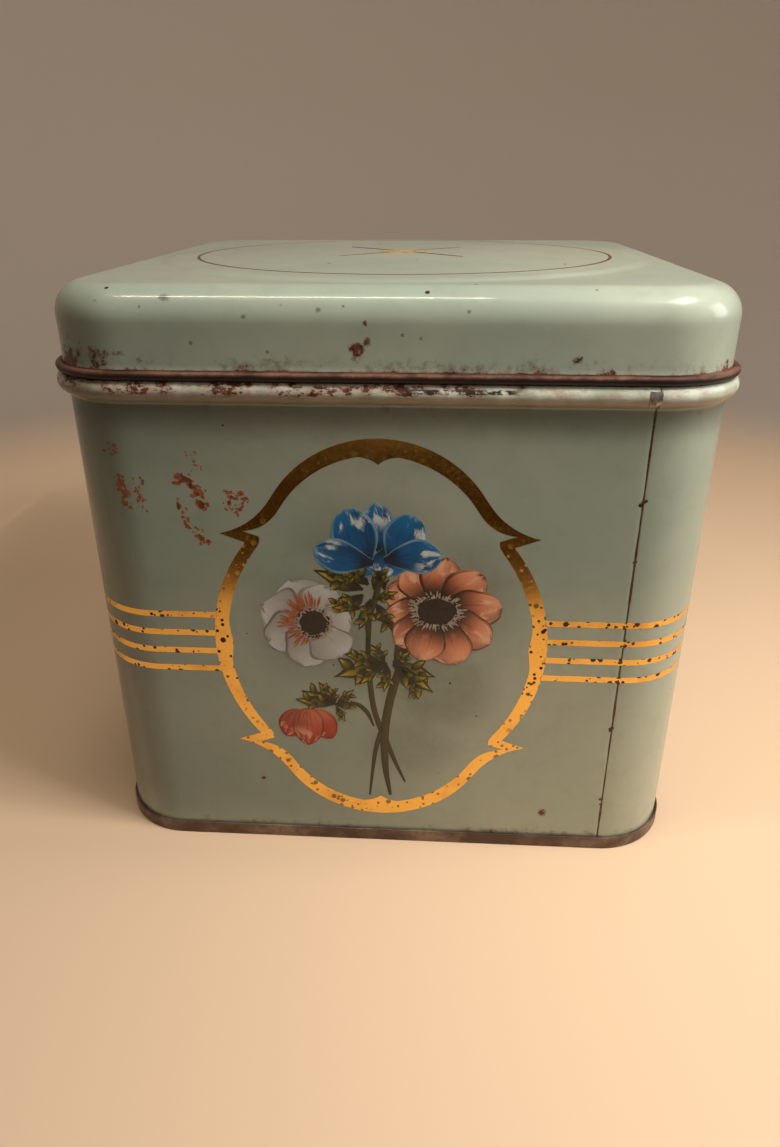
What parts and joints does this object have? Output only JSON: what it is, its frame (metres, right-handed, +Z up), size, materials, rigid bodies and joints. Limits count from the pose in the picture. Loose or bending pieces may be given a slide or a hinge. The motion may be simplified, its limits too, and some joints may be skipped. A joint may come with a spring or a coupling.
{
  "type": "square lidded bread tin",
  "caption": "Square tinplate bread tin with rounded corners, a stop bead, locked side seams, a double-seamed foot and a deep lift-off slip lid with a rolled edge.",
  "frame": {"origin": "middle of the plane that the foot's double seam stands on, under the middle of the body", "axes": "+Z up along the lid's lift direction, -Y out of the decorated front whose right-hand end shows the side seam, +X to the right when looking at that front"},
  "size_m": [0.2426, 0.243, 0.2275],
  "materials": {
    "printed_tinplate": "sage green semi-gloss enamel, worn and rust specked, with gold and flower print",
    "lid_paint": "sage green semi-gloss enamel, with a rusty bare rolled edge",
    "bare_tinplate": "bare tinplate, dull and rust browned",
    "solder": "dull grey soft solder",
    "wire": "dull steel wire"
  },
  "bodies": {
    "tin_body": {"left_wall_sheet": "printed_tinplate", "right_wall_sheet": "printed_tinplate", "base_panel": "bare_tinplate", "front_seam_solder": "solder", "back_seam_solder": "solder"},
    "lid": {"lid_shell": "lid_paint", "lid_edge_wire": "wire"}
  },
  "joints": [
    {"name": "lid_lift", "type": "slide", "parent": "tin_body", "child": "lid", "axis": [0, 0, 1], "range_m": [0, 0.12]}
  ]
}
